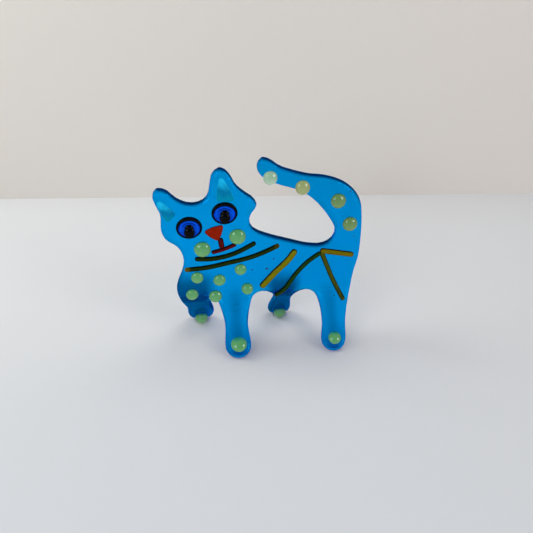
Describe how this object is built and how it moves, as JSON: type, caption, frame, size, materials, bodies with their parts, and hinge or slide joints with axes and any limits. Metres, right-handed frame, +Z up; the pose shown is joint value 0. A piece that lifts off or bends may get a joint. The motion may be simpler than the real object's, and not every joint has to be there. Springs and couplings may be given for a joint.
{
  "type": "fused glass cat figure",
  "caption": "Free-standing cat figure cut from one sheet of blue glass, its legs slumped alternately forward and backward, with melted dots, stripes, eyes and nose fused to the front.",
  "frame": {"origin": "on the floor, under the middle of the figure's overall box", "axes": "+X along the cat from head to rump, +Z up, the decorated front face looks towards -Y"},
  "size_m": [0.095, 0.0448, 0.0903],
  "materials": {
    "blue_sheet_glass": "transparent blue sheet glass, fire-polished",
    "turquoise_glass": "translucent turquoise glass, fused",
    "mint_opal_glass": "opal mint green glass, glossy",
    "pale_mint_opal_glass": "opal whitish mint glass, glossy",
    "sage_opal_glass": "opal sage green glass, glossy",
    "black_glass": "opaque black glass, glossy",
    "cobalt_glass": "cobalt blue glass, glossy",
    "orange_red_glass": "orange-red opal glass, glossy",
    "dark_red_glass": "dark red glass rod, glossy",
    "dark_green_glass": "dark green glass rod, glossy",
    "olive_glass": "olive yellow glass rod, glossy"
  },
  "bodies": {
    "root": {"cat_body_sheet": "blue_sheet_glass", "ear_inlay_left": "turquoise_glass", "ear_inlay_right": "turquoise_glass", "eye_rim_left": "black_glass", "eye_rim_right": "black_glass", "iris_left": "cobalt_glass", "iris_right": "cobalt_glass", "pupil_left": "black_glass", "pupil_right": "black_glass", "nose": "orange_red_glass", "philtrum": "dark_red_glass", "mouth": "dark_red_glass", "collar_upper": "dark_green_glass", "collar_lower": "dark_green_glass", "flank_stripe_front": "olive_glass", "flank_stripe_rear": "dark_green_glass", "haunch_stripe_upper": "olive_glass", "haunch_stripe_leg": "olive_glass", "cheek_dot_left": "mint_opal_glass", "cheek_dot_right": "mint_opal_glass", "chest_dot_1": "mint_opal_glass", "chest_dot_2": "mint_opal_glass", "chest_dot_3": "mint_opal_glass", "chest_dot_4": "mint_opal_glass", "chest_dot_5": "mint_opal_glass", "chest_dot_6": "mint_opal_glass", "tail_dot_1": "pale_mint_opal_glass", "tail_dot_2": "sage_opal_glass", "tail_dot_3": "mint_opal_glass", "tail_dot_4": "mint_opal_glass", "paw_dot_fore_far": "mint_opal_glass", "paw_dot_fore_near": "mint_opal_glass", "paw_dot_hind_far": "mint_opal_glass", "paw_dot_hind_near": "mint_opal_glass"}
  },
  "joints": []
}
